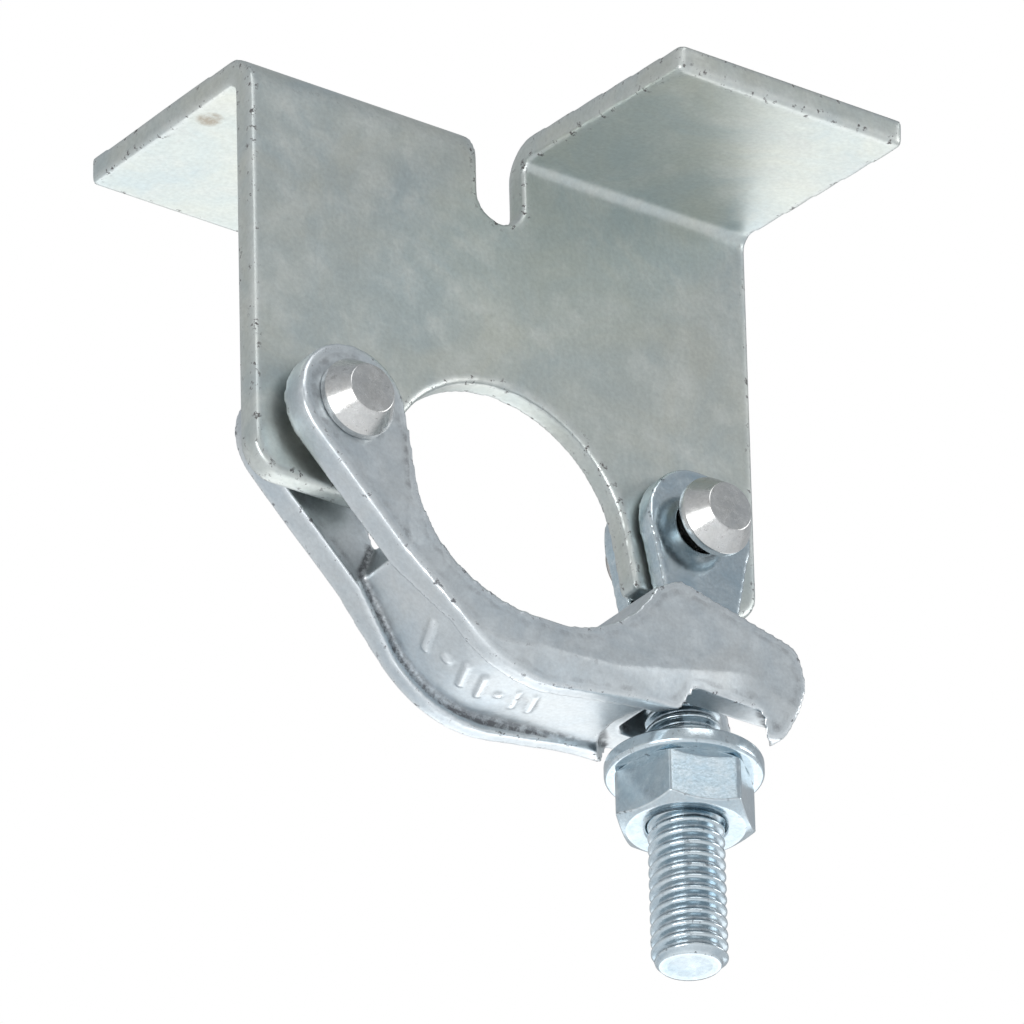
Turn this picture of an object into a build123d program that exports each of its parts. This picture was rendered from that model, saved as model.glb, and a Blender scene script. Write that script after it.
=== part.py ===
"""Scaffold board retaining coupler: bent plate, forged flap, swing bolt, washer and nut.

Frame: the origin is on the axis of the clamped tube, in the middle plane of the plate.
+X points to the swing bolt, +Y to the back and +Z up to the tabs that hold the board.
"""

import os
from math import acos, atan2, cos, degrees, pi, radians, sin, sqrt, tan

from build123d import *

# ---------------------------------------------------------------- driving dimensions, mm
tube_diameter = 48.3
tube_clearance = 0.1        # radial gap between the closed clamp and the tube

# plate
plate_thickness = 4.5
plate_width = 101.0
plate_bottom_z = -5.5
plate_corner_radius = 6.0
cutout_half_angle = 80.0    # how far the tube seat runs each side of its top, degrees
tab_underside_z = 68.5
front_tab_length = 44.0     # from the face of the plate to the end of the tab
back_tab_length = 42.0
front_tab_droop = 4.4       # how far the tab is bent past square, degrees
back_tab_droop = -1.2
bend_inner_radius = 2.0
tab_corner_radius = 1.2
notch_width = 9.2
notch_bottom_z = 55.7

# rivets
rivet_side_gap = 11.85      # from the tube's side to the axis of each rivet
rivet_z = 7.2
rivet_diameter = 9.0
rivet_head_diameter = 13.8
rivet_rim = 1.4
rivet_cone = 3.7
rivet_face_diameter = 8.6
rivet_tail_diameter = 13.0
rivet_tail_height = 3.6
hinge_clearance = 0.08      # radial, rivet in a hinge hole
plate_hole_clearance = 0.02  # radial, rivet in the plate

# flap
ear_radius = 10.4
ear_top_angle = 110.0       # a point on the round top of the ears, degrees
ear_inner_y = 4.5
ear_outer_y = 9.8
nose_half_width = 13.5
ear_plan_run = 10.0         # from the flap rivet to where the flap starts to widen
nose_plan_run = 33.0        # and to where it has its full width
# the gap between the ears ends this much nearer to the flap rivet than the tube's axis does
throat_belly_setback = 9.5
throat_saddle_setback = 15.5
throat_low_angle = -80.0    # directions from the flap rivet to the corners of the gap's end, degrees
throat_belly_angle = -66.0
throat_saddle_angle = -45.0
flank_width = 2.4           # how far the flanks of the belly slope in, across the flap
rail_width = 5.6
pocket_end_gap = 11.0       # from the bolt's axis, inside the spot face
pocket_narrow_run = 11.0    # from the flap rivet to where the pocket starts to widen
pocket_wide_run = 20.0      # and to where it has its full width
back_angle = 45.0           # slope of the flap's back below the ears, degrees
belly_drop = 11.95          # below the lowest line of the saddle
belly_radius = 22.0
# corners of the boss round the bolt: from the bolt's axis, and from the lowest line of the saddle
boss_offset = (-15.0, -7.55)
boss_radius = 40.0
toe_offset = (3.5, -7.45)
toe_radius = 60.0
toe_rise = 0.6              # from the toe corner to beyond the hook
hook_offset = (12.3, -7.25)
hook_radius = 2.4
nose_offset = (15.9, 3.25)
nose_radius = 8.0
brow_offset = (13.8, 9.65)
brow_radius = 4.0
hump_offset = (-9.7, 15.45)
hump_radius = 3.0
saddle_end_angle = -28.0
# the parting line, where the front face turns into the flank
parting_start_drop = 3.69   # below the back line, beyond the ears
parting_belly_offset = (-0.7, 6.3)   # from the belly corner
parting_boss_offset = (-8.5, 2.8)    # from the boss corner
parting_hump_offset = (0.0, 9.3)     # from the toe corner
parting_fall = 9.2          # from there to beyond the hook
parting_radius = 20.0
parting_hump_radius = 8.0
# the floor of the pocket between the two rails
pocket_start_run = 9.0      # from the flap rivet, away from the bolt
pocket_start_depth = 3.41   # inside the back line there
pocket_corner_offset = (-0.3, 3.3)   # from the belly corner
pocket_corner_radius = 18.0
pocket_boss_depth = 1.2     # in the boss
reach = 60.0                # beyond every side of the flap

# swing bolt
bolt_diameter = 12.7
bolt_eye_radius = 10.4
bolt_fork_extra = 0.5       # how much wider the fork is than the rod
bolt_fork_gap = 6.2
bolt_neck_drop = 20.0       # from the pivot to where the fork has narrowed to the shank
bolt_crotch_radius = 19.8
bolt_end_drop = 47.25       # below the lowest line of the saddle
bolt_end_chamfer = 1.4
bolt_slot_clearance = 0.55  # each side of the fork, in the flap's slot
bolt_slot_end_gap = 2.65    # from the rod to the closed end of the slot
bolt_slot_corner_radius = 3.0

# nut and washer
nut_across_flats = 21.0
nut_height = 10.2
nut_chamfer_angle = 30.0
nut_face_inset = 0.8        # radial, from the flats to the round face
nut_bore_clearance = 0.05
nut_bore_chamfer = 0.8
nut_face_clearance = 0.05     # between the nut and the washer
nut_turn = 42.0             # how the hexagon stands at rest, degrees
washer_diameter = 26.4
washer_thickness = 3.0
washer_bore_clearance = 0.7
washer_dish_depth = 0.8
washer_dish_clearance = 0.9  # radial, round the nut's face
washer_dish_taper = 45.0    # degrees
washer_edge_round = 0.6
washer_drop = 9.65          # from the lowest line of the saddle to the washer's top
seat_drop = 3.25             # spot face for the washer
seat_clearance = 0.8        # radial, round the washer in its spot face

# ---------------------------------------------------------------- values worked out from them
seat_radius = tube_diameter / 2 + tube_clearance
rivet_x = tube_diameter / 2 + rivet_side_gap
half_plate = plate_thickness / 2
half_width = plate_width / 2
bolt_radius = bolt_diameter / 2
bolt_fork_width = bolt_diameter + bolt_fork_extra
bolt_end_z = -seat_radius - bolt_end_drop
washer_top_z = -seat_radius - washer_drop
seat_z = -seat_radius - seat_drop
rivet_radius = rivet_diameter / 2
washer_radius = washer_diameter / 2
spot_face_radius = washer_radius + seat_clearance
front_plane = Plane.XZ      # its normal is -Y, so a positive extrusion comes to the front
flap_pivot = (-rivet_x, rivet_z)
throat_radius = rivet_x - throat_belly_setback
throat_inner_radius = rivet_x - throat_saddle_setback
bolt_pivot = (rivet_x, rivet_z)


def nearest(items, point):
    """The edge or vertex whose centre is closest to a point."""
    return items.sort_by(lambda item: (item.center() - Vector(*point)).length)[0]


def on_circle(centre, radius, angle):
    """A point on a circle in the XZ plane, with the angle in degrees from +X."""
    return (centre[0] + radius * cos(radians(angle)), centre[1] + radius * sin(radians(angle)))


def at_boss(offset):
    """A point given from the bolt's axis and the lowest line of the saddle."""
    return (rivet_x + offset[0], offset[1] - seat_radius)


def moved(point, offset):
    """A point and an offset added up."""
    return (point[0] + offset[0], point[1] + offset[1])


def rounded(corners):
    """The points and the radii of a list of rounded corners."""
    return [corner for corner, radius in corners], [radius for corner, radius in corners]


# ---------------------------------------------------------------- body plate
cutout_angle = 90 - cutout_half_angle
cutout_right = on_circle((0, 0), seat_radius, cutout_angle)
cutout_left = (-cutout_right[0], cutout_right[1])
flare = (cutout_right[1] - plate_bottom_z) * tan(radians(cutout_angle))
bend_start_z = tab_underside_z - 2 * bend_inner_radius
notch_radius = notch_width / 2
tab_width = half_width - notch_radius

with BuildPart() as body_plate:
    with BuildSketch(front_plane) as plate_outline:
        with BuildLine():
            Polyline(
                (-half_width, bend_start_z),
                (-half_width, plate_bottom_z),
                (cutout_left[0] - flare, plate_bottom_z),
                cutout_left,
            )
            ThreePointArc(cutout_left, (0, seat_radius), cutout_right)
            Polyline(
                cutout_right,
                (cutout_right[0] + flare, plate_bottom_z),
                (half_width, plate_bottom_z),
                (half_width, bend_start_z),
                (-half_width, bend_start_z),
            )
        make_face()
        lower_corners = plate_outline.vertices().filter_by(lambda v: abs(v.Y - plate_bottom_z) < 0.01)
        fillet(lower_corners.filter_by(lambda v: abs(v.X) > half_width - 0.01), plate_corner_radius)
    extrude(amount=half_plate, both=True)
    # side is -1 for the tab bent to the front and 1 for the tab bent to the back
    for side, length, droop, start_x in (
        (-1, front_tab_length, front_tab_droop, notch_radius),
        (1, back_tab_length, back_tab_droop, -half_width),
    ):
        across = (cos(radians(droop)) * plate_thickness, sin(radians(droop)) * plate_thickness)
        inner_corner = (side * half_plate, tab_underside_z)
        end_corner = (side * (half_plate + length), tab_underside_z - length * tan(radians(droop)))
        end_top = (end_corner[0] + side * across[1], end_corner[1] + across[0])
        rise = (abs(end_top[0]) + half_plate) * tan(radians(droop))
        outer_corner = (-side * half_plate, end_top[1] + rise)
        with BuildSketch(Plane.YZ.offset(start_x)) as tab_section:
            with BuildLine():
                Polyline(
                    (side * half_plate, bend_start_z),
                    inner_corner,
                    end_corner,
                    end_top,
                    outer_corner,
                    (-side * half_plate, bend_start_z),
                    close=True,
                )
            make_face()
            fillet(nearest(tab_section.vertices(), (*inner_corner, 0)), bend_inner_radius)
            fillet(nearest(tab_section.vertices(), (*outer_corner, 0)), bend_inner_radius + plate_thickness)
        extrude(amount=tab_width)
    with BuildSketch(front_plane):
        with Locations((0, notch_bottom_z + notch_radius)):
            Circle(notch_radius)
        with Locations((0, notch_bottom_z + notch_radius)):
            Rectangle(notch_width, tab_underside_z, align=(Align.CENTER, Align.MIN))
    extrude(amount=half_plate + 1, both=True, mode=Mode.SUBTRACT)
    with BuildSketch(front_plane):
        with Locations(flap_pivot, bolt_pivot):
            Circle(rivet_radius + plate_hole_clearance)
    extrude(amount=plate_thickness, both=True, mode=Mode.SUBTRACT)
    tab_ends = body_plate.edges().filter_by(lambda e: abs(e.center().Y) > back_tab_length)
    fillet(tab_ends.filter_by(lambda e: abs(e.length - plate_thickness) < 0.01), tab_corner_radius)
body_plate.part.label = "body_plate"

# ---------------------------------------------------------------- rivets
head_under_y = -ear_outer_y
tail_dome_height = rivet_tail_height - rivet_rim
tail_dome_radius = ((rivet_tail_diameter / 2) ** 2 + tail_dome_height ** 2) / (2 * tail_dome_height)
with BuildPart() as flap_rivet:
    with BuildSketch(Plane.XY.offset(rivet_z)) as rivet_section:
        with BuildLine():
            Polyline(
                (-rivet_x, head_under_y - rivet_rim - rivet_cone),
                (-rivet_x + rivet_face_diameter / 2, head_under_y - rivet_rim - rivet_cone),
                (-rivet_x + rivet_head_diameter / 2, head_under_y - rivet_rim),
                (-rivet_x + rivet_head_diameter / 2, head_under_y),
                (-rivet_x + rivet_radius, head_under_y),
                (-rivet_x + rivet_radius, ear_outer_y),
                (-rivet_x + rivet_tail_diameter / 2, ear_outer_y),
                (-rivet_x + rivet_tail_diameter / 2, ear_outer_y + rivet_rim),
            )
            RadiusArc(
                (-rivet_x + rivet_tail_diameter / 2, ear_outer_y + rivet_rim),
                (-rivet_x, ear_outer_y + rivet_tail_height),
                -tail_dome_radius,
            )
            Line(
                (-rivet_x, ear_outer_y + rivet_tail_height),
                (-rivet_x, head_under_y - rivet_rim - rivet_cone),
            )
        make_face()
    revolve(axis=Axis((-rivet_x, 0, rivet_z), (0, 1, 0)))
flap_rivet.part.label = "flap_rivet"

with BuildPart() as bolt_rivet:
    add(Pos(2 * rivet_x, 0, 0) * flap_rivet.part)
bolt_rivet.part.label = "bolt_rivet"

# ---------------------------------------------------------------- flap
# The side outline: round the ear, down the back, along the belly, round the hook and the
# nose, and back along the saddle. The ear meets the saddle on the tangent that crosses
# between their two circles.
pivot_distance = sqrt(rivet_x ** 2 + rivet_z ** 2)
pivot_angle = degrees(atan2(rivet_z, -rivet_x))
cross_angle = degrees(acos((ear_radius + seat_radius) / pivot_distance))
ear_tangent = on_circle(flap_pivot, ear_radius, pivot_angle - 180 + cross_angle)
saddle_start = on_circle((0, 0), seat_radius, pivot_angle + cross_angle)
saddle_end = on_circle((0, 0), seat_radius, saddle_end_angle)
saddle_bottom = (0, -seat_radius)
ear_back = on_circle(flap_pivot, ear_radius, 180 + back_angle)
ear_top = on_circle(flap_pivot, ear_radius, ear_top_angle)
back_slope = tan(radians(back_angle))


def back_line(x):
    """Height of the flap's straight back at x."""
    return ear_back[1] + (ear_back[0] - x) * back_slope


belly_z = -seat_radius - belly_drop
belly_corner = (ear_back[0] + (ear_back[1] - belly_z) / back_slope, belly_z)
boss_corner = at_boss(boss_offset)
toe_corner = at_boss(toe_offset)
hook_corner = at_boss(hook_offset)
nose_corner = at_boss(nose_offset)
brow_corner = at_boss(brow_offset)
hump_corner = at_boss(hump_offset)
flap_corners = (
    (belly_corner, belly_radius),
    (boss_corner, boss_radius),
    (hook_corner, hook_radius),
    (nose_corner, nose_radius),
    (brow_corner, brow_radius),
    (hump_corner, hump_radius),
)
slot_half_width = bolt_fork_width / 2 + bolt_slot_clearance
slot_end_x = rivet_x - bolt_radius - bolt_slot_end_gap
pocket_half_width = nose_half_width - rail_width

ear_plan_x = -rivet_x + ear_plan_run
nose_plan_x = -rivet_x + nose_plan_run
pocket_narrow_x = -rivet_x + pocket_narrow_run
pocket_wide_x = -rivet_x + pocket_wide_run
pocket_end_x = rivet_x - pocket_end_gap
pocket_end_z = boss_corner[1] + pocket_boss_depth
pocket_start_x = -rivet_x - pocket_start_run
pocket_start = (pocket_start_x, back_line(pocket_start_x) + pocket_start_depth)
pocket_corner = moved(belly_corner, pocket_corner_offset)

parting_start = (-reach, back_line(-reach) - parting_start_drop)
parting_hump = moved(toe_corner, parting_hump_offset)
parting_corners = (
    (moved(belly_corner, parting_belly_offset), parting_radius),
    (moved(boss_corner, parting_boss_offset), parting_radius),
    (parting_hump, parting_hump_radius),
)
parting_end = (reach, parting_hump[1] - parting_fall)

crest_start = (-reach, back_line(-reach))
crest_corners = ((belly_corner, belly_radius), (boss_corner, boss_radius), (toe_corner, toe_radius))
crest_end = (reach, toe_corner[1] + toe_rise)

crest_points, crest_radii = rounded(crest_corners)
parting_points, parting_radii = rounded(parting_corners)
crest_y = nose_half_width - flank_width

# everything between the two flanks of the belly
with BuildPart() as between_flanks:
    with BuildSketch(front_plane):
        with BuildLine():
            FilletPolyline(crest_start, *crest_points, crest_end, radius=crest_radii)
            Polyline(crest_end, (reach, reach), (-reach, reach), crest_start)
        make_face()
    extrude(amount=crest_y, both=True)
    for side_y in (-1, 1):
        with BuildSketch(front_plane.offset(side_y * crest_y)):
            with BuildLine():
                FilletPolyline(crest_start, *crest_points, crest_end, radius=crest_radii)
                Polyline(crest_end, (reach, reach), (-reach, reach), crest_start)
            make_face()
        with BuildSketch(front_plane.offset(side_y * nose_half_width)):
            with BuildLine():
                FilletPolyline(parting_start, *parting_points, parting_end, radius=parting_radii)
                Polyline(parting_end, (reach, reach), (-reach, reach), parting_start)
            make_face()
        loft(ruled=True)

# the pocket between the rails, widening from the gap between the ears
with BuildPart() as pocket:
    with BuildSketch(front_plane) as pocket_side:
        with BuildLine():
            Polyline(
                pocket_start,
                pocket_corner,
                (pocket_end_x, pocket_end_z),
                (pocket_end_x, -half_width),
                (pocket_start[0], -half_width),
                close=True,
            )
        make_face()
        fillet(nearest(pocket_side.vertices(), (*pocket_corner, 0)), pocket_corner_radius)
    extrude(amount=nose_half_width, both=True)
    with BuildSketch(Plane.XY.offset(-half_width)):
        with BuildLine():
            Polyline(
                (pocket_start[0], -ear_inner_y),
                (pocket_narrow_x, -ear_inner_y),
                (pocket_wide_x, -pocket_half_width),
                (pocket_end_x, -pocket_half_width),
                (pocket_end_x, pocket_half_width),
                (pocket_wide_x, pocket_half_width),
                (pocket_narrow_x, ear_inner_y),
                (pocket_start[0], ear_inner_y),
                close=True,
            )
        make_face()
    extrude(amount=2 * half_width, mode=Mode.INTERSECT)

with BuildPart() as flap:
    with BuildSketch(front_plane) as flap_outline:
        with BuildLine():
            ThreePointArc(ear_tangent, ear_top, ear_back)
            Polyline(ear_back, *[corner for corner, radius in flap_corners], saddle_end)
            ThreePointArc(saddle_end, saddle_bottom, saddle_start)
            Line(saddle_start, ear_tangent)
        make_face()
        for corner, radius in flap_corners:
            fillet(nearest(flap_outline.vertices(), (*corner, 0)), radius)
    extrude(amount=nose_half_width, both=True)
    # the flap is narrow at the ears and full width at the nose
    with BuildSketch(Plane.XY.offset(belly_corner[1])):
        with BuildLine():
            Polyline(
                (-half_width, -ear_outer_y),
                (ear_plan_x, -ear_outer_y),
                (nose_plan_x, -nose_half_width),
                (half_width + nose_radius, -nose_half_width),
                (half_width + nose_radius, nose_half_width),
                (nose_plan_x, nose_half_width),
                (ear_plan_x, ear_outer_y),
                (-half_width, ear_outer_y),
                close=True,
            )
        make_face()
    extrude(amount=2 * half_width, mode=Mode.INTERSECT)
    add(between_flanks.part, mode=Mode.INTERSECT)
    add(pocket.part, mode=Mode.SUBTRACT)
    # gap between the ears for the plate
    with BuildSketch(front_plane) as throat:
        with Locations(flap_pivot):
            Circle(throat_inner_radius)
        with BuildLine():
            Polyline(
                flap_pivot,
                on_circle(flap_pivot, throat_radius, throat_low_angle),
                on_circle(flap_pivot, throat_radius, throat_belly_angle),
                on_circle(flap_pivot, throat_inner_radius, throat_saddle_angle),
                close=True,
            )
        make_face()
    extrude(amount=ear_inner_y, both=True, mode=Mode.SUBTRACT)
    # slot for the bolt, open at the nose
    with BuildSketch(Plane.XY.offset(belly_corner[1])) as bolt_slot:
        with Locations((slot_end_x, 0)):
            Rectangle(half_width, 2 * slot_half_width, align=(Align.MIN, Align.CENTER))
        fillet(bolt_slot.vertices().group_by(Axis.X)[0], bolt_slot_corner_radius)
    extrude(amount=half_width, mode=Mode.SUBTRACT)
    # spot face under the washer
    with BuildSketch(Plane.XY.offset(seat_z)):
        with Locations((rivet_x, 0)):
            Circle(spot_face_radius)
    extrude(amount=-half_width, mode=Mode.SUBTRACT)
    # hinge hole
    with BuildSketch(front_plane):
        with Locations(flap_pivot):
            Circle(rivet_radius + hinge_clearance)
    extrude(amount=nose_half_width, both=True, mode=Mode.SUBTRACT)
flap.part.label = "flap"

# ---------------------------------------------------------------- swing bolt
with BuildPart() as swing_bolt:
    with BuildSketch(front_plane) as fork_outline:
        with BuildLine():
            Polyline(
                (rivet_x - bolt_radius, rivet_z - bolt_neck_drop),
                (rivet_x - bolt_eye_radius, rivet_z),
                (rivet_x + bolt_eye_radius, rivet_z),
                (rivet_x + bolt_radius, rivet_z - bolt_neck_drop),
                close=True,
            )
        make_face()
        with Locations(bolt_pivot):
            Circle(bolt_eye_radius)
    extrude(amount=bolt_fork_width / 2, both=True)
    with BuildSketch(front_plane):
        with Locations(bolt_pivot):
            Circle(bolt_crotch_radius)
    extrude(amount=bolt_fork_gap / 2, both=True, mode=Mode.SUBTRACT)
    # shank, carried up into the neck of the fork
    with BuildSketch(Plane.XY.offset(bolt_end_z)):
        with Locations((rivet_x, 0)):
            Circle(bolt_radius)
    extrude(amount=rivet_z - bolt_neck_drop - bolt_end_z)
    chamfer(swing_bolt.edges().filter_by(GeomType.CIRCLE).sort_by(Axis.Z)[0], bolt_end_chamfer)
    with BuildSketch(front_plane):
        with Locations(bolt_pivot):
            Circle(rivet_radius + hinge_clearance)
    extrude(amount=bolt_fork_width, both=True, mode=Mode.SUBTRACT)
swing_bolt.part.label = "swing_bolt"

# ---------------------------------------------------------------- washer
washer_plane = Plane.XY.offset(washer_top_z - washer_thickness)
nut_corner_radius = nut_across_flats / 2 / cos(pi / 6)
nut_face_radius = nut_across_flats / 2 - nut_face_inset
dish_radius = nut_face_radius + washer_dish_clearance
bore_radius = bolt_radius + washer_bore_clearance
with BuildPart() as washer:
    with BuildSketch(washer_plane):
        with Locations((rivet_x, 0)):
            Circle(washer_radius)
            Circle(bore_radius, mode=Mode.SUBTRACT)
    extrude(amount=washer_thickness)
    # dish on the nut's side: a flat floor with a cone round it
    with BuildSketch(washer_plane.offset(washer_dish_depth)):
        with Locations((rivet_x, 0)):
            Circle(dish_radius)
    extrude(amount=-washer_dish_depth, taper=-washer_dish_taper, mode=Mode.SUBTRACT)
    rims = washer.edges().filter_by(lambda e: abs(e.length - 2 * pi * washer_radius) < 0.01)
    fillet(rims, washer_edge_round)
washer.part.label = "washer"

# ---------------------------------------------------------------- nut
nut_top_z = washer_top_z - washer_thickness + washer_dish_depth - nut_face_clearance
nut_bore_radius = bolt_radius + nut_bore_clearance
with BuildPart() as nut:
    with BuildSketch(Plane.XY.offset(nut_top_z)):
        with Locations((rivet_x, 0)):
            RegularPolygon(nut_corner_radius, 6, rotation=nut_turn)
    extrude(amount=-nut_height)
    # both ends are turned to a cone, which leaves round faces inside the hexagon
    with BuildSketch(Plane.XZ) as turned_section:
        cone_drop = (nut_corner_radius - nut_face_radius) * tan(radians(nut_chamfer_angle))
        with BuildLine():
            Polyline(
                (rivet_x, nut_top_z),
                (rivet_x + nut_face_radius, nut_top_z),
                (rivet_x + nut_corner_radius, nut_top_z - cone_drop),
                (rivet_x + nut_corner_radius, nut_top_z - nut_height + cone_drop),
                (rivet_x + nut_face_radius, nut_top_z - nut_height),
                (rivet_x, nut_top_z - nut_height),
                close=True,
            )
        make_face()
    revolve(axis=Axis((rivet_x, 0, 0), (0, 0, 1)), mode=Mode.INTERSECT)
    with Locations((rivet_x, 0, nut_top_z)):
        Hole(nut_bore_radius, depth=nut_height)
    bore_edges = nut.edges().filter_by(lambda e: abs(e.length - 2 * pi * nut_bore_radius) < 0.01)
    chamfer(bore_edges, nut_bore_chamfer)
nut.part.label = "nut"

os.makedirs("parts", exist_ok=True)
for piece in (body_plate, flap_rivet, bolt_rivet, flap, swing_bolt, washer, nut):
    export_step(piece.part, f"parts/{piece.part.label}.step")
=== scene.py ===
# %% [markdown]
# # A scaffold board retaining coupler
# The real object is a clamp of seven pieces: a bent plate, a forged flap, two rivets, a swing bolt, a
# dished washer and a nut. The CAD model fixes every size and place. This lesson gives the pieces their
# looks: rounded and worn edges, a real thread, and four finishes of zinc and steel. We load the CAD
# model first and keep its box.

# %% Load the CAD frame
from math import cos, pi, radians, sin

import bmesh
import bpy
import numpy as np
from mathutils import Matrix, Vector


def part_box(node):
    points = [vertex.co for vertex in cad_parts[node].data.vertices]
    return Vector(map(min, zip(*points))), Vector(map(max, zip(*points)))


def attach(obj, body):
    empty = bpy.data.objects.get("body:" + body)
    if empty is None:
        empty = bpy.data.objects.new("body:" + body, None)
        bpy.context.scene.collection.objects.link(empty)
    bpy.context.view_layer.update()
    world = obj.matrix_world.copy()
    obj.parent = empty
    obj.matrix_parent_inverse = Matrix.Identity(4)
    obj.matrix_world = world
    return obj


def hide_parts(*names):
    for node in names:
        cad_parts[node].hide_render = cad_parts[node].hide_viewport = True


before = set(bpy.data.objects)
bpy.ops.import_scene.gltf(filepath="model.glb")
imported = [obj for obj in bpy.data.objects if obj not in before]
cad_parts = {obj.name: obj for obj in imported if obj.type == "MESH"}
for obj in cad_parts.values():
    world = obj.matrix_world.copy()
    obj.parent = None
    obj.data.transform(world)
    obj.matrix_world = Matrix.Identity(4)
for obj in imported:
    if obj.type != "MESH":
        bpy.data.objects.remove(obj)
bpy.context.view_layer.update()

MM = 0.001
scene = bpy.context.scene


# %% [markdown]
# ## Camera
# The coupler is looked at from its front left, and from below. A long lens far away keeps its verticals
# nearly parallel, which keeps the proportions honest. We place the camera by the angles round the
# object and aim it at a point near the middle, so that each number can be read and changed by itself.

# %% Camera from angles, distance and lens
CAMERA_TURN = radians(-36.375)
CAMERA_RISE = radians(-28.883)
CAMERA_ROLL = radians(-1.418)
CAMERA_DISTANCE = 2.494
CAMERA_AIM = Vector((0.00231, 0.0, 0.00274))
CAMERA_LENS = 535.4
SENSOR = 36.0

back = Vector((
    sin(CAMERA_TURN) * cos(CAMERA_RISE),
    -cos(CAMERA_TURN) * cos(CAMERA_RISE),
    sin(CAMERA_RISE),
))
level_right = (-back).cross(Vector((0, 0, 1))).normalized()
level_up = level_right.cross(-back)
right = cos(CAMERA_ROLL) * level_right + sin(CAMERA_ROLL) * level_up
up = -sin(CAMERA_ROLL) * level_right + cos(CAMERA_ROLL) * level_up
camera_data = bpy.data.cameras.new("camera")
camera_data.lens = CAMERA_LENS
camera_data.sensor_width = SENSOR
camera_data.clip_end = 50.0
camera = bpy.data.objects.new("camera", camera_data)
scene.collection.objects.link(camera)
camera.matrix_world = Matrix.Translation(CAMERA_AIM + CAMERA_DISTANCE * back) @ Matrix(
    (right, up, back)
).transposed().to_4x4()
scene.camera = camera
print("camera at", tuple(round(v, 3) for v in camera.location))


# %% [markdown]
# ## Studio
# Bright metal shows its surroundings more than its own colour, so the studio matters as much as the
# material. Four large soft lights stand on the left, below and behind, on the right, and high in
# front. They are aimed at the middle of the object, so that only their places need numbers.

# %% Soft lights
def soft_light(name, place, size, power):
    """A square area light at a place, turned to face the middle of the object."""
    light = bpy.data.lights.new(name, "AREA")
    light.size = size
    light.energy = power
    lamp = bpy.data.objects.new(name, light)
    lamp.location = place
    lamp.rotation_euler = (CAMERA_AIM - Vector(place)).to_track_quat("-Z", "Y").to_euler()
    scene.collection.objects.link(lamp)
    print("light", name, "of", power, "W")


soft_light("key_left", (-1.7, -0.9, -0.6), 1.2, 16.0)
soft_light("below", (0.9, 1.1, -1.2), 2.2, 13.0)
soft_light("side_right", (1.7, -1.0, 0.3), 0.9, 7.0)
soft_light("front_high", (-0.3, -1.6, 1.5), 1.2, 7.0)


# %% [markdown]
# ## Pale surroundings
# What the metal reflects is a wide gradient: white towards the floor and the left, and greyer towards
# the top and the right, which gives flat faces different tones. Seen directly, the surroundings are
# plain white. The world's shader does both, by the direction of the ray.

# %% World
SURROUND_STRENGTH = 0.78
BRIGHTER_WAY = (-0.35, 0.05, -0.93)
DARK_SIDE = (0.55, 0.58, 0.61, 1.0)
WHITE = (1.0, 1.0, 1.0, 1.0)

world = bpy.data.worlds.new("pale_studio")
scene.world = world
world.use_nodes = True
world_nodes = world.node_tree.nodes
world_links = world.node_tree.links
background = world_nodes["Background"]
background.inputs["Strength"].default_value = SURROUND_STRENGTH
white = world_nodes.new("ShaderNodeBackground")
white.inputs["Color"].default_value = WHITE
white.inputs["Strength"].default_value = 1.0
direction = world_nodes.new("ShaderNodeTexCoord")
facing = world_nodes.new("ShaderNodeVectorMath")
facing.operation = "DOT_PRODUCT"
facing.inputs[1].default_value = BRIGHTER_WAY
shade = world_nodes.new("ShaderNodeValToRGB")
shade.color_ramp.elements[0].position = 0.1
shade.color_ramp.elements[0].color = DARK_SIDE
shade.color_ramp.elements[1].position = 0.8
shade.color_ramp.elements[1].color = WHITE
raised = world_nodes.new("ShaderNodeMapRange")
raised.inputs["From Min"].default_value = -1.0
world_links.new(direction.outputs["Generated"], facing.inputs[0])
world_links.new(facing.outputs["Value"], raised.inputs["Value"])
world_links.new(raised.outputs["Result"], shade.inputs["Fac"])
world_links.new(shade.outputs["Color"], background.inputs["Color"])
seen = world_nodes.new("ShaderNodeLightPath")
blend = world_nodes.new("ShaderNodeMixShader")
world_links.new(seen.outputs["Is Camera Ray"], blend.inputs["Fac"])
world_links.new(background.outputs["Background"], blend.inputs[1])
world_links.new(white.outputs["Background"], blend.inputs[2])
world_links.new(blend.outputs["Shader"], world_nodes["World Output"].inputs["Surface"])
scene.view_settings.view_transform = "Standard"
print("world", world.name, "with", len(world_nodes), "nodes")


# %% [markdown]
# ## Floor
# The floor is a plain pale disc. The camera looks up from below the object, so the floor lies lower
# still and only shows in the other views and in the reflections. A little emission keeps it pale.

# %% Floor
FLOOR_Z = -1.6
FLOOR_RADIUS = 15.0
FLOOR_GLOW = 0.3

bpy.ops.mesh.primitive_circle_add(
    vertices=64, radius=FLOOR_RADIUS, fill_type="NGON", location=(0, 0, FLOOR_Z)
)
floor = bpy.context.object
floor.name = "floor"
floor_material = bpy.data.materials.new("pale_floor")
floor_material.use_nodes = True
floor_shader = floor_material.node_tree.nodes["Principled BSDF"]
floor_shader.inputs["Base Color"].default_value = (0.85, 0.86, 0.87, 1.0)
floor_shader.inputs["Roughness"].default_value = 0.9
floor_shader.inputs["Emission Color"].default_value = WHITE
floor_shader.inputs["Emission Strength"].default_value = FLOOR_GLOW
floor.data.materials.append(floor_material)
print("floor at", FLOOR_Z)
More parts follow.
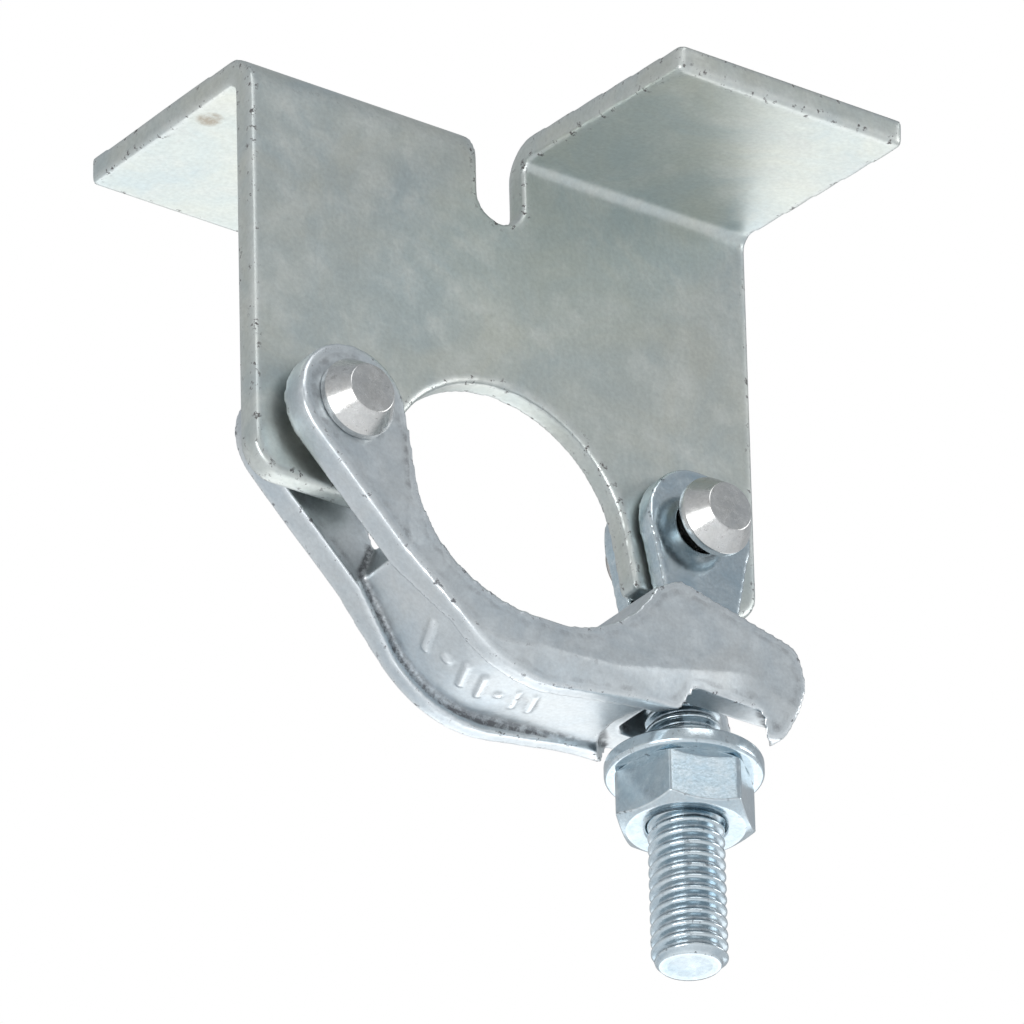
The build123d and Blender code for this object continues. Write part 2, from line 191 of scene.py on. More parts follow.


# %% [markdown]
# ## Numpy surfaces
# The machined pieces are surfaces of two parameters: a grid of points whose rows follow a profile and
# whose columns go round the axis. The formula gives all the points in one array. A shared helper joins
# neighbours into quads, closes the poles, turns the faces outwards and counts any open edges.

# %% Grid and profile helpers
def make_mesh(name, points, faces):
    """One object from an (n, 3) array in millimetres and an (m, 4) array of corners, faces outwards."""
    mesh = bpy.data.meshes.new(name)
    mesh.from_pydata((points * MM).tolist(), [], faces.tolist())
    close_mesh(mesh)
    piece = bpy.data.objects.new(name, mesh)
    scene.collection.objects.link(piece)
    return piece


def close_mesh(mesh):
    """Merge doubles, drop faces with no area, point the normals outwards and shade smooth."""
    shell = bmesh.new()
    shell.from_mesh(mesh)
    bmesh.ops.remove_doubles(shell, verts=shell.verts, dist=1e-6)
    bmesh.ops.dissolve_degenerate(shell, edges=shell.edges, dist=1e-7)
    bmesh.ops.recalc_face_normals(shell, faces=shell.faces)
    open_edges = sum(1 for edge in shell.edges if len(edge.link_faces) != 2)
    shell.to_mesh(mesh)
    shell.free()
    mesh.shade_smooth()
    print(f"{mesh.name}: {len(mesh.polygons)} faces, {open_edges} open edges")


def ring_faces(rows, columns, ring_closed=False):
    """Quads of a grid whose columns close on themselves, and whose rows may close too."""
    last = rows if ring_closed else rows - 1
    row, column = np.meshgrid(np.arange(last), np.arange(columns), indexing="ij")
    here = row * columns + column
    beside = row * columns + (column + 1) % columns
    below = ((row + 1) % rows) * columns
    return np.stack(
        [here, beside, below + (column + 1) % columns, below + column], axis=-1
    ).reshape(-1, 4)


def rounded_profile(corners, radii, steps=6):
    """A polyline whose inner corners become arcs.

    Each arc touches both runs at radius * cot(half the corner's angle) from the corner.
    """
    corners = [np.array(corner, float) for corner in corners]
    parts = [corners[0][None]]
    for before, corner, after, radius in zip(corners, corners[1:], corners[2:], radii):
        if radius == 0:
            parts.append(corner[None])
            continue
        to_before = (before - corner) / np.linalg.norm(before - corner)
        to_after = (after - corner) / np.linalg.norm(after - corner)
        half = np.arccos(np.clip(to_before @ to_after, -1, 1)) / 2
        middle = (to_before + to_after) / np.linalg.norm(to_before + to_after)
        centre = corner + middle * radius / sin(half)
        start = corner + to_before * radius / np.tan(half) - centre
        end = corner + to_after * radius / np.tan(half) - centre
        t = np.linspace(0, 1, steps)[:, None]
        arc = start * (1 - t) + end * t
        parts.append(centre + radius * arc / np.linalg.norm(arc, axis=1, keepdims=True))
    parts.append(corners[-1][None])
    return np.concatenate(parts)


def turned(name, profile, centre, axis, columns=96, ring_closed=False):
    """A turned piece: point = centre + axis * along + (cos a, sin a) * radius across the axis."""
    along = np.array(axis, float)
    across = np.array((1.0, 0.0, 0.0))
    third = np.cross(along, across)
    angle = np.linspace(0, 2 * pi, columns, endpoint=False)
    radius = profile[:, 0, None, None]
    height = profile[:, 1, None, None]
    round_way = np.cos(angle)[None, :, None] * across + np.sin(angle)[None, :, None] * third
    points = np.array(centre, float) + height * along + radius * round_way
    return make_mesh(name, points.reshape(-1, 3), ring_faces(len(profile), columns, ring_closed))


def box_mm(node):
    """A CAD node's lowest and highest corner, in millimetres."""
    low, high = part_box(node)
    return np.array(low) / MM, np.array(high) / MM


print("helpers ready")


# %% [markdown]
# ## Rivets
# A rivet starts as a pin with a turned head: a short rim, a cone and a flat face. Its other end is
# hammered into a low dome in the assembly. A profile turned round the pin's axis gives exactly that, and
# small arcs at the corners catch the light as the real edges do.

# %% Two rivets
RIM = 1.4
CONE = 3.7
FACE_RADIUS = 4.3
HEAD_RADIUS = 6.9
PIN_RADIUS = 4.5
TAIL_RADIUS = 6.5
TAIL_HEIGHT = 3.6


def rivet_profile(length):
    """Radius and place along the axis, from the middle of the flat face to the top of the dome."""
    tail = length - TAIL_HEIGHT
    dome_height = TAIL_HEIGHT - RIM
    dome_radius = (TAIL_RADIUS ** 2 + dome_height ** 2) / (2 * dome_height)
    head = rounded_profile(
        [(0, 0), (FACE_RADIUS, 0), (HEAD_RADIUS, CONE), (HEAD_RADIUS, CONE + RIM), (PIN_RADIUS, CONE + RIM),
         (PIN_RADIUS, tail), (TAIL_RADIUS, tail), (TAIL_RADIUS, tail + RIM)],
        [0.35, 0.4, 0.3, 0, 0, 0.3],
    )
    swing = np.linspace(np.arcsin(TAIL_RADIUS / dome_radius), 0, 12)
    dome = np.stack(
        [dome_radius * np.sin(swing), length - dome_radius + dome_radius * np.cos(swing)], axis=1
    )
    return np.concatenate([head, dome])


rivets = []
for node in ("flap_rivet", "bolt_rivet"):
    low, high = box_mm(node)
    middle = (low + high) / 2
    rivet = turned(
        node + "_turned", rivet_profile(high[1] - low[1]), (middle[0], low[1], middle[2]), (0, 1, 0)
    )
    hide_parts(node)
    rivets.append(rivet)


# %% [markdown]
# ## Washer
# The thick washer is stamped, so its rims are round, and a shallow dish on its lower side takes the
# nut's face. It is one closed ring of a profile turned round the bolt's axis.

# %% Dished washer
DISH_DEPTH = 0.8
DISH_RADIUS = 10.6
BORE_RADIUS = 7.05
low, high = box_mm("washer")
bolt_x = (low[0] + high[0]) / 2
outer = (high[0] - low[0]) / 2
washer_profile = rounded_profile(
    [(BORE_RADIUS, low[2] + 1.5), (BORE_RADIUS, low[2] + DISH_DEPTH),
     (DISH_RADIUS - DISH_DEPTH, low[2] + DISH_DEPTH), (DISH_RADIUS, low[2]), (outer, low[2]),
     (outer, high[2]), (BORE_RADIUS, high[2]), (BORE_RADIUS, low[2] + 1.6)],
    [0.15, 0.3, 0.35, 0.75, 0.75, 0.3],
)
washer = turned(
    "washer_dished", washer_profile, (bolt_x, 0, 0), (0, 0, 1), columns=128, ring_closed=True
)
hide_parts("washer")


# %% [markdown]
# ## Nut
# A nut is a hexagonal bar, turned to a cone at both ends, so that its corners end in curved lines. The
# same comes out of a formula: at each angle the radius is the smaller of the hexagon's and the cone's.
# The hexagon's own radius is a high power mean of its six flats, which rounds the corners a little.

# %% Hexagon nut
ACROSS_FLATS = 21.0
NUT_BORE = 6.4
NUT_CHAMFER = 0.8
NUT_FACE = 9.7
NUT_TURN = radians(42.0)
CORNER_POWER = 70
CONE_SLOPE = np.tan(radians(30.0))
CONE_DEPTH = 2.2
CONE_ROWS = 26
CONE_SOFTNESS = 0.12
FLAT_START = 3.2


def nut_rows(height, columns):
    """Radius and height of each row round the nut, from the bore, over the top, the flats and back."""
    angle = np.linspace(0, 2 * pi, columns, endpoint=False)
    flats = NUT_TURN + pi / 6 + np.arange(6)[:, None] * pi / 3
    facing = np.clip(np.cos(angle - flats), 0, None)
    hexagon = ACROSS_FLATS / 2 / (facing ** CORNER_POWER).sum(0) ** (1 / CORNER_POWER)
    drop = np.concatenate([np.linspace(0, CONE_DEPTH, CONE_ROWS), [FLAT_START, height / 2]])
    drop = np.concatenate([drop, height - drop[-2::-1]])
    to_face = np.minimum(drop, height - drop)
    cone = NUT_FACE + to_face / CONE_SLOPE
    gap = np.clip(0.5 + (cone[:, None] - hexagon[None]) / (2 * CONE_SOFTNESS), 0, 1)
    side = cone[:, None] * (1 - gap) + hexagon[None] * gap - CONE_SOFTNESS * gap * (1 - gap)
    ones = np.ones(columns)
    inner = [(NUT_BORE, height / 2 - 0.1), (NUT_BORE, NUT_CHAMFER), (NUT_BORE + NUT_CHAMFER, 0),
             (NUT_FACE - 0.5, 0)]
    inner_radius = np.array([radius * ones for radius, _ in inner])
    inner_drop = np.array([place for _, place in inner])
    radius = np.concatenate([inner_radius, side, inner_radius[::-1]])
    place = np.concatenate([inner_drop, drop, height - inner_drop[::-1]])
    return radius, place, angle


low, high = box_mm("nut")
radius, place, angle = nut_rows(high[2] - low[2], 192)
points = np.stack([
    bolt_x + radius * np.cos(angle),
    radius * np.sin(angle),
    np.broadcast_to(high[2] - place[:, None], radius.shape),
], axis=-1)
nut = make_mesh("nut_hexagon", points.reshape(-1, 3), ring_faces(*radius.shape, ring_closed=True))
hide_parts("nut")


# %% [markdown]
# ## Dense copies of the forged and bent pieces
# The CAD mesh is exact but has hard edges, where sheet from a press and a forging have soft ones. We
# join a copy's loose triangles, remesh it into small even cells and relax it for a few steps. Flat
# stretches stay where they are, and edges become round by about the size of one cell.

# %% Remesh and relax a copy
def dense_copy(node, name, cell, relax):
    """A separate copy of a CAD node as an even skin of cells, relaxed by a number of smoothing steps."""
    piece = bpy.data.objects.new(name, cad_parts[node].data.copy())
    scene.collection.objects.link(piece)
    close_mesh(piece.data)
    remesh = piece.modifiers.new("skin", "REMESH")
    remesh.mode = "VOXEL"
    remesh.voxel_size = cell * MM
    remesh.use_smooth_shade = True
    if relax:
        smooth = piece.modifiers.new("relax", "SMOOTH")
        smooth.factor = 0.5
        smooth.iterations = relax
    return baked(piece)


def baked(piece):
    """Apply all the modifiers of a piece to its mesh."""
    graph = bpy.context.evaluated_depsgraph_get()
    mesh = bpy.data.meshes.new_from_object(piece.evaluated_get(graph))
    mesh.name = piece.name
    piece.modifiers.clear()
    piece.data = mesh
    print(f"{piece.name}: {len(mesh.polygons)} faces")
    return piece


def vertex_data(mesh):
    """Points and normals as arrays, in millimetres."""
    points = np.zeros(len(mesh.vertices) * 3)
    normals = np.zeros(len(mesh.vertices) * 3)
    mesh.vertices.foreach_get("co", points)
    mesh.vertices.foreach_get("normal", normals)
    return points.reshape(-1, 3) / MM, normals.reshape(-1, 3)


def put_points(mesh, points):
    """Write an array of points, in millimetres, back to the mesh."""
    mesh.vertices.foreach_set("co", (points * MM).astype(np.float32).ravel())
    mesh.update()


# %% [markdown]
# ## Where edges wear and where shade is painted
# Handling rubs the plating bright on the ridges, and the ridges also get a painted highlight; the hollows
# get painted shade. Both follow from the shape: on a ridge a point stands out from the mean of its
# neighbours, and in a hollow it lies below it. We work that out once for each dense piece and store it as
# an attribute for the materials.

# %% Ridges as an attribute
def neighbour_mean(values, pairs, count):
    """The mean of each vertex's neighbours, for an array with one row per vertex."""
    total = np.stack([
        np.bincount(pairs[:, 0], values[pairs[:, 1], axis], count)
        + np.bincount(pairs[:, 1], values[pairs[:, 0], axis], count)
        for axis in range(values.shape[1])
    ], axis=1)
    return total / np.bincount(pairs.ravel(), minlength=count)[:, None]


def edge_pairs(mesh):
    """The two vertices of every edge, one row per edge."""
    pairs = np.zeros(len(mesh.edges) * 2, np.int32)
    mesh.edges.foreach_get("vertices", pairs)
    return pairs.reshape(-1, 2)


def store_ridge(piece, ridge):
    """Write the attribute 'ridge' on the points of a piece."""
    attribute = piece.data.attributes.new("ridge", "FLOAT", "POINT")
    attribute.data.foreach_set("value", ridge.astype(np.float32))
    print(f"{piece.name}: ridge from {ridge.min():.2f} to {ridge.max():.2f}")


def mark_ridges(piece, steps, reach, hollow, beside):
    """Attribute 'ridge': 0.5 on a flat, towards 1 on a ridge and towards 0 in a hollow.

    Painted shade is also laid on the side faces just beside a ridge: there the blurred attribute exceeds
    the sharp one, and 'beside' says how much that lowers it. 'hollow' is the share of a hollow's depth
    kept.
    """
    points, normals = vertex_data(piece.data)
    pairs = edge_pairs(piece.data)
    relaxed = points
    for _ in range(steps):
        relaxed = neighbour_mean(relaxed, pairs, len(points))
    stands_out = ((points - relaxed) * normals).sum(1, keepdims=True)
    ridge = np.clip(0.5 + 0.5 * stands_out[:, 0] / reach, 0, 1)
    ridge = np.maximum(ridge, 0.5 - hollow * np.clip(0.5 - ridge, 0, 1))
    blurred = ridge[:, None]
    for _ in range(steps):
        blurred = neighbour_mean(blurred, pairs, len(points))
    # Painted shade on the side faces beside a ridge: the attribute is lowered there.
    on_side = np.abs(normals[:, 1]) > 0.85
    ridge = np.clip(ridge - beside * np.clip(blurred[:, 0] - ridge, 0, 1) * on_side, 0, 1)
    store_ridge(piece, ridge)


# %% Ridges of a turned piece
def mark_turned_ridges(piece, reach):
    """The same attribute on an uneven grid: how fast the normals spread apart, per millimetre of edge."""
    points, normals = vertex_data(piece.data)
    first, second = edge_pairs(piece.data).T
    apart = points[first] - points[second]
    spread = ((normals[first] - normals[second]) * apart).sum(1) / np.maximum((apart ** 2).sum(1), 1e-6)
    strongest = np.zeros(len(points))
    np.maximum.at(strongest, first, spread)
    np.maximum.at(strongest, second, spread)
    lowest = np.zeros(len(points))
    np.minimum.at(lowest, first, spread)
    np.minimum.at(lowest, second, spread)
    ridge = np.clip(0.5 + 0.5 * (strongest + lowest) / reach, 0, 1)
    store_ridge(piece, ridge)


# On the turned pieces the attribute also drives a painted highlight on ridges and painted shade in hollows.
for piece in (*rivets, washer, nut):
    mark_turned_ridges(piece, reach=2.2)


# %% [markdown]
# ## Bent plate
# The plate is 4.5 mm sheet, sheared and bent. Its faces stay flat, so a light relax is enough: it
# rounds the sheared edges and the bends run on smoothly.

# %% Plate
plate = dense_copy("body_plate", "plate_sheet", cell=0.62, relax=3)
mark_ridges(plate, steps=6, reach=0.16, hollow=0.0, beside=1.0)
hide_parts("body_plate")


# %% [markdown]
# ## Forged flap
# The flap is a drop forging: thick rails round a thinner web, soft corners and a skin that is never
# quite even. The remeshed copy is relaxed more than the plate, then every point moves a little along
# its normal by a smooth noise. A generic row of raised dots and bars stands on the web, where such
# forgings carry a mark, and says nothing.

# %% Forging skin
MARK_START = -15.0
MARK_STEP = 3.4
MARK_COUNT = 7
MARK_BAR = (2.6, 0.55)
MARK_DOT = (0.05, 0.85)
MARK_EDGE = 0.5
MARK_LEAN = 0.35
MARK_HEIGHT = 0.4


def waves(points, scale, seed):
    """Smooth noise from -1 to 1: the mean of twelve sine waves in seeded directions, as whole arrays."""
    random = np.random.default_rng(seed)
    ways = random.normal(size=(12, 3))
    ways *= (2 * pi / scale) * random.uniform(0.5, 1.6, (12, 1)) / np.linalg.norm(ways, axis=1)[:, None]
    shift = random.uniform(0, 2 * pi, 12)
    return np.sin(points @ ways.T + shift).sum(1) / 6


def bar(u, v, centre, half_length, half_width, lean):
    """1 inside a leaning bar with round ends, fading to 0 by the distance to its middle line."""
    du, dv = u - centre[0], v - centre[1]
    along = np.clip(du * sin(lean) + dv * cos(lean), -half_length, half_length)
    distance = np.hypot(du - along * sin(lean), dv - along * cos(lean))
    return np.clip((half_width + MARK_EDGE / 2 - distance) / MARK_EDGE, 0, 1)


flap = dense_copy("flap", "flap_forging", cell=0.45, relax=4)
points, normals = vertex_data(flap.data)
u, v = points[:, 0], points[:, 1]
mark = np.zeros(len(points))
for number in range(MARK_COUNT):
    centre = (MARK_START + number * MARK_STEP, 0.0)
    length, half_width = MARK_DOT if number % 3 == 1 else MARK_BAR
    mark = np.maximum(mark, bar(u, v, centre, length, half_width, MARK_LEAN))
on_web = (np.abs(v) < 6) & (normals[:, 2] < -0.35) & (points[:, 2] < -20)
points += normals * (mark * on_web * MARK_HEIGHT)[:, None]
skin = 0.05 * waves(points, 9.0, seed=4) + 0.02 * waves(points, 3.0, seed=9) - 0.03
points += normals * skin[:, None]
put_points(flap.data, points)
mark_ridges(flap, steps=10, reach=0.22, hollow=0.6, beside=2.5)
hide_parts("flap")


# %% [markdown]
# ## Swing bolt
# The swing bolt is a forged fork on a rod with a rolled thread. The fork is a dense copy of the CAD
# piece above the thread. The thread is one grid: its radius depends only on how far a point is along
# the helix, so the groove winds up the rod by itself. The two closed skins are joined by a union.

# %% Threaded rod and fork
PITCH = 25.4 / 12
MAJOR_RADIUS = 6.35
THREAD_DEPTH = 1.1
THREAD_TOP = -17.5
CUT_Z = -19.5
END_CHAMFER = 1.5
ROWS_PER_TURN = 12
ROOT_SHARE = 0.14
FLANK_SHARE = 0.72


def thread_rod(low_z, high_z, columns=84):
    """Radius = depth profile of (z / pitch - angle / one turn), cut off by a cone at the low end."""
    rows = int((high_z - low_z) / PITCH * ROWS_PER_TURN)
    z = np.linspace(low_z, high_z, rows)[:, None]
    turn = np.linspace(0, 2 * pi, columns, endpoint=False)[None]
    flank = np.abs(2 * ((z / PITCH - turn / (2 * pi)) % 1.0) - 1)
    ridge = np.clip((flank - ROOT_SHARE) / FLANK_SHARE, 0, 1)
    rounded = ridge * ridge * (3 - 2 * ridge) * 0.5 + ridge * 0.5
    radius = MAJOR_RADIUS - THREAD_DEPTH + THREAD_DEPTH * rounded
    radius = np.minimum(radius, MAJOR_RADIUS - END_CHAMFER + 0.15 + (z - low_z))
    points = np.stack(np.broadcast_arrays(
        bolt_x + radius * np.cos(turn), radius * np.sin(turn), z
    ), axis=-1).reshape(-1, 3)
    dish = np.array([[4.4, low_z], [3.6, low_z + 0.1], [2.0, low_z + 0.15], [0.0, low_z + 0.15]])
    start = np.stack(np.broadcast_arrays(
        bolt_x + dish[::-1, :1] * np.cos(turn), dish[::-1, :1] * np.sin(turn), dish[::-1, 1:]
    ), axis=-1).reshape(-1, 3)
    end = np.tile([[bolt_x, 0.0, high_z]], (columns, 1))
    points = np.concatenate([start, points, end])
    return make_mesh("thread_rod", points, ring_faces(len(points) // columns, columns))


low, high = box_mm("swing_bolt")
rod = thread_rod(low[2], THREAD_TOP)
bolt = dense_copy("swing_bolt", "swing_bolt_forged", cell=0.4, relax=3)
shell = bmesh.new()
shell.from_mesh(bolt.data)
cut = bmesh.ops.bisect_plane(
    shell, geom=shell.verts[:] + shell.edges[:] + shell.faces[:],
    plane_co=(0, 0, CUT_Z * MM), plane_no=(0, 0, -1), clear_outer=True,
)
rim = [edge for edge in cut["geom_cut"] if isinstance(edge, bmesh.types.BMEdge)]
bmesh.ops.holes_fill(shell, edges=rim)
shell.to_mesh(bolt.data)
shell.free()
join = bolt.modifiers.new("join", "BOOLEAN")
join.operation = "UNION"
join.solver = "EXACT"
join.object = rod
baked(bolt)
bpy.data.objects.remove(rod)
bolt.data.shade_smooth()
mark_ridges(bolt, steps=6, reach=0.2, hollow=1.0, beside=0.0)
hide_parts("swing_bolt")


# %% [markdown]
# ## Shared finish groups
# Zinc plating is not one grey. It clouds from beige to blue over centimetres and has a fine grain. Its
# ridges are made brighter, for rubbed plating and as a painted highlight, and its hollows darker, as
# painted shade.
# One group makes the clouds and the grain, and another lays wear with painted highlight, and dirt specks
# with painted shade, over any colour by the stored ridge attribute. Each material sets its own values.

# %% Clouded metal group
def new_group(name, inputs, outputs):
    """An empty shader node group with named sockets: each is (name, kind, value or None)."""
    group = bpy.data.node_groups.new(name, "ShaderNodeTree")
    for label, kind, value in inputs:
        socket = group.interface.new_socket(label, in_out="INPUT", socket_type=kind)
        if value is not None:
            socket.default_value = value
    for label, kind in outputs:
        group.interface.new_socket(label, in_out="OUTPUT", socket_type=kind)
    return group, group.nodes.new("NodeGroupInput"), group.nodes.new("NodeGroupOutput")


def noise_node(tree, vector, scale, detail, roughness=0.55, distortion=0.0):
    """A noise texture on a vector."""
    node = tree.nodes.new("ShaderNodeTexNoise")
    node.inputs["Detail"].default_value = detail
    node.inputs["Roughness"].default_value = roughness
    node.inputs["Distortion"].default_value = distortion
    if isinstance(scale, (int, float)):
        node.inputs["Scale"].default_value = scale
    else:
        tree.links.new(scale, node.inputs["Scale"])
    tree.links.new(vector, node.inputs["Vector"])
    return node.outputs["Fac"]


def stretch(tree, value, low, high, to_low=0.0, to_high=1.0):
    """Map a value from low..high to a new range, clamped."""
    node = tree.nodes.new("ShaderNodeMapRange")
    tree.links.new(value, node.inputs["Value"])
    for label, number in (("From Min", low), ("From Max", high), ("To Min", to_low), ("To Max", to_high)):
        node.inputs[label].default_value = number
    return node.outputs["Result"]


def mix_colours(tree, factor, first, second, blend="MIX"):
    """Mix two colours; each argument is a socket or a plain value."""
    node = tree.nodes.new("ShaderNodeMix")
    node.data_type = "RGBA"
    node.blend_type = blend
    for socket, value in zip((node.inputs[0], node.inputs[6], node.inputs[7]), (factor, first, second)):
        if isinstance(value, bpy.types.NodeSocket):
            tree.links.new(value, socket)
        else:
            socket.default_value = value
    return node.outputs[2]


def math_node(tree, operation, first, second):
    """One arithmetic step; each argument is a socket or a number."""
    node = tree.nodes.new("ShaderNodeMath")
    node.operation = operation
    for socket, value in zip(node.inputs, (first, second)):
        if isinstance(value, bpy.types.NodeSocket):
            tree.links.new(value, socket)
        else:
            socket.default_value = value
    return node.outputs[0]


clouds, clouds_in, clouds_out = new_group(
    "clouded_metal",
    [("Warm", "NodeSocketColor", None), ("Cool", "NodeSocketColor", None),
     ("Pale", "NodeSocketColor", None),
     ("Cloud Scale", "NodeSocketFloat", 45.0), ("Grain Scale", "NodeSocketFloat", 900.0),
     ("Vector", "NodeSocketVector", None)],
    [("Color", "NodeSocketColor"), ("Rough", "NodeSocketFloat"), ("Grain", "NodeSocketFloat")],
)
where = clouds_in.outputs["Vector"]
large = noise_node(clouds, where, clouds_in.outputs["Cloud Scale"], 5.0, 0.6, 0.6)
fine = noise_node(clouds, where, clouds_in.outputs["Grain Scale"], 3.0, 0.6)
patches_scale = math_node(clouds, "MULTIPLY", clouds_in.outputs["Cloud Scale"], 3.7)
patches = noise_node(clouds, where, patches_scale, 6.0, 0.65, 0.3)
cloud_colour = mix_colours(
    clouds, stretch(clouds, large, 0.36, 0.64), clouds_in.outputs["Warm"], clouds_in.outputs["Cool"]
)
pale_colour = mix_colours(
    clouds, stretch(clouds, patches, 0.48, 0.72, 0.0, 0.75), cloud_colour, clouds_in.outputs["Pale"]
)
grain_tint = mix_colours(clouds, stretch(clouds, fine, 0.3, 0.7), (0.86, 0.86, 0.86, 1), (1.1, 1.1, 1.1, 1))
clouds.links.new(mix_colours(clouds, 0.6, pale_colour, grain_tint, "MULTIPLY"), clouds_out.inputs["Color"])
clouds.links.new(stretch(clouds, patches, 0.3, 0.7), clouds_out.inputs["Rough"])
clouds.links.new(fine, clouds_out.inputs["Grain"])
print("group", clouds.name, "with", len(clouds.nodes), "nodes")


# %% Wear, painted highlight, dirt and painted shade group
# Brightens ridges, for rubbed plating and as a painted highlight; darkens hollows with painted shade, and
# ridges with specks of dirt.
wear_and_painted_light, wear_and_painted_light_in, wear_and_painted_light_out = new_group(
    "wear_dirt_and_painted_light",
    [("Color", "NodeSocketColor", None), ("Bright", "NodeSocketColor", None),
     ("Grime And Shade", "NodeSocketColor", None),
     ("Ridge", "NodeSocketFloat", 0.5), ("Wear And Highlight", "NodeSocketFloat", 0.6), ("Dirt And Shade", "NodeSocketFloat", 0.6),
     ("Speck Scale", "NodeSocketFloat", 700.0), ("Vector", "NodeSocketVector", None)],
    [("Color", "NodeSocketColor"), ("Bare And Highlight", "NodeSocketFloat"), ("Dirty And Shaded", "NodeSocketFloat")],
)
breakup = noise_node(wear_and_painted_light, wear_and_painted_light_in.outputs["Vector"], wear_and_painted_light_in.outputs["Speck Scale"], 5.0, 0.7)
# Ridges: rubbed plating and a painted highlight, broken up by noise.
ridge_part = stretch(wear_and_painted_light, wear_and_painted_light_in.outputs["Ridge"], 0.62, 0.95)
rubbed_and_highlit = math_node(wear_and_painted_light, "MULTIPLY", ridge_part, stretch(wear_and_painted_light, breakup, 0.35, 0.55, 0.35, 1.0))
bare_and_highlit = math_node(wear_and_painted_light, "MULTIPLY", rubbed_and_highlit, wear_and_painted_light_in.outputs["Wear And Highlight"])
# Hollows: painted shade, broken up by noise.
hollow_broken = stretch(wear_and_painted_light, breakup, 0.38, 0.56, 0.25, 1.0)
hollow_whole = stretch(wear_and_painted_light, wear_and_painted_light_in.outputs["Ridge"], 0.42, 0.12)
hollow_part = math_node(wear_and_painted_light, "MULTIPLY", hollow_whole, hollow_broken)
# Dark specks of dirt on the ridges.
speck_part = math_node(wear_and_painted_light, "MULTIPLY", ridge_part, stretch(wear_and_painted_light, breakup, 0.585, 0.64))
dirt_and_shade_mask = math_node(wear_and_painted_light, "MAXIMUM", hollow_part, speck_part)
dirty_and_shaded = math_node(wear_and_painted_light, "MULTIPLY", dirt_and_shade_mask, wear_and_painted_light_in.outputs["Dirt And Shade"])
# The bright colour is wear and painted highlight, the dark colour dirt and painted shade.
brightened = mix_colours(wear_and_painted_light, bare_and_highlit, wear_and_painted_light_in.outputs["Color"], wear_and_painted_light_in.outputs["Bright"])
wear_and_painted_light.links.new(mix_colours(wear_and_painted_light, dirty_and_shaded, brightened, wear_and_painted_light_in.outputs["Grime And Shade"]), wear_and_painted_light_out.inputs["Color"])
wear_and_painted_light.links.new(bare_and_highlit, wear_and_painted_light_out.inputs["Bare And Highlight"])
wear_and_painted_light.links.new(dirty_and_shaded, wear_and_painted_light_out.inputs["Dirty And Shaded"])
print("group", wear_and_painted_light.name, "with", len(wear_and_painted_light.nodes), "nodes")


# %% [markdown]
# ## Four finishes
# Sheet, forging and bright parts are all zinc, but plated and handled in their own ways, so each gets
# its own colours, roughness and grain. The rivets are plain turned steel. Metal has no colour of its own
# apart from its reflection, so these colours are bright, and the roughness decides how soft they look.

# %% Metal material builder
def metal(
    name, warm, cool, pale, bright, grime_and_shade, cloud_scale, grain_scale, rough,
    wear_and_highlight_amount, dirt_and_shade_amount, grain_height,
):
    """A plated metal: clouded colour, wear with a painted highlight and dirt with painted shade by the
    ridge attribute, and grain as bump.
    """
    material = bpy.data.materials.new(name)
    material.use_nodes = True
    tree = material.node_tree
    shader = tree.nodes["Principled BSDF"]
    shader.inputs["Metallic"].default_value = 1.0
    place = tree.nodes.new("ShaderNodeTexCoord").outputs["Object"]
    skin = tree.nodes.new("ShaderNodeGroup")
    skin.node_tree = clouds
    for label, value in (("Warm", warm), ("Cool", cool), ("Pale", pale)):
        skin.inputs[label].default_value = (*value, 1.0)
    skin.inputs["Cloud Scale"].default_value = cloud_scale
    skin.inputs["Grain Scale"].default_value = grain_scale
    tree.links.new(place, skin.inputs["Vector"])
    # The group paints wear and a highlight on the ridges, and dirt and shade in the hollows.
    wear_and_painted_light_node = tree.nodes.new("ShaderNodeGroup")
    wear_and_painted_light_node.node_tree = wear_and_painted_light
    tree.links.new(place, wear_and_painted_light_node.inputs["Vector"])
    tree.links.new(skin.outputs["Color"], wear_and_painted_light_node.inputs["Color"])
    wear_and_painted_light_node.inputs["Bright"].default_value = (*bright, 1.0)
    wear_and_painted_light_node.inputs["Grime And Shade"].default_value = (*grime_and_shade, 1.0)
    wear_and_painted_light_node.inputs["Wear And Highlight"].default_value = wear_and_highlight_amount
    wear_and_painted_light_node.inputs["Dirt And Shade"].default_value = dirt_and_shade_amount
    attribute = tree.nodes.new("ShaderNodeAttribute")
    attribute.attribute_name = "ridge"
    tree.links.new(attribute.outputs["Fac"], wear_and_painted_light_node.inputs["Ridge"])
    tree.links.new(wear_and_painted_light_node.outputs["Color"], shader.inputs["Base Color"])
    worn = stretch(tree, wear_and_painted_light_node.outputs["Bare And Highlight"], 0.0, 1.0, 0.0, -0.12)
    soiled = stretch(tree, wear_and_painted_light_node.outputs["Dirty And Shaded"], 0.0, 1.0, 0.0, 0.3)
    base = stretch(tree, skin.outputs["Rough"], 0.0, 1.0, rough[0], rough[1])
    total = math_node(tree, "ADD", math_node(tree, "ADD", base, worn), soiled)
    tree.links.new(total, shader.inputs["Roughness"])
    bump = tree.nodes.new("ShaderNodeBump")
    bump.inputs["Strength"].default_value = 1.0
    bump.inputs["Distance"].default_value = grain_height * MM
    tree.links.new(skin.outputs["Grain"], bump.inputs["Height"])
    tree.links.new(bump.outputs["Normal"], shader.inputs["Normal"])
    return material


